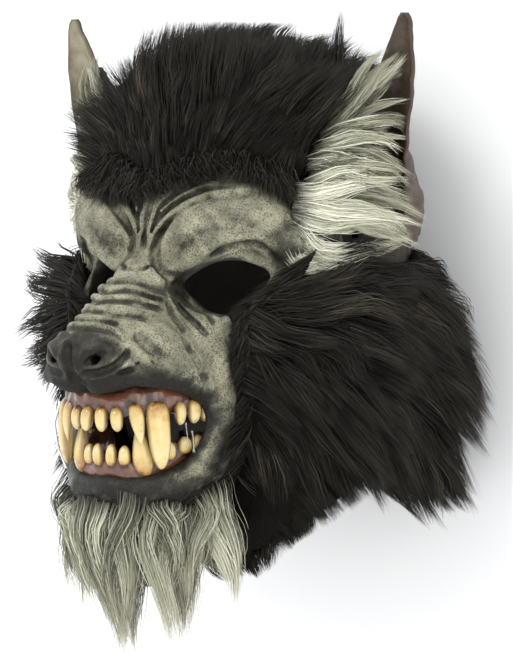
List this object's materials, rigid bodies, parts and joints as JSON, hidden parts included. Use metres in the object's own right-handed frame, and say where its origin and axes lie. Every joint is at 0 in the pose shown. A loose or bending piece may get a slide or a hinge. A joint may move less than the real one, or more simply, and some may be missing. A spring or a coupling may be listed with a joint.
{
  "type": "wolf mask",
  "caption": "Snarling wolf costume mask for the whole head, moulded in latex with upright ears, bared teeth, black fur and a grey beard, lying on its back.",
  "frame": {"origin": "on the flat of the back that the mask lies on, under the bridge of the nose", "axes": "+X towards the wearer's left, +Y towards the crown, +Z the way the face looks, up as it lies"},
  "size_m": [0.2136, 0.3012, 0.2466],
  "materials": {
    "latex": "matt olive grey latex with darker airbrushed creases, nose and lips",
    "ear_latex": "matt brown-grey latex",
    "denture": "glossy stained ivory teeth on glossy red-brown gums",
    "black_fur": "long black faux fur",
    "grey_fur": "long grey faux fur, paler at the tips"
  },
  "bodies": {
    "root": {"latex_head": "latex", "left_ear": "ear_latex", "right_ear": "ear_latex", "upper_denture": "denture", "lower_denture": "denture", "crown_fur": "black_fur", "left_cheek_fur": "black_fur", "right_cheek_fur": "black_fur", "back_fur": "black_fur", "left_ear_fur": "grey_fur", "right_ear_fur": "grey_fur", "beard_fur": "grey_fur"}
  },
  "joints": []
}
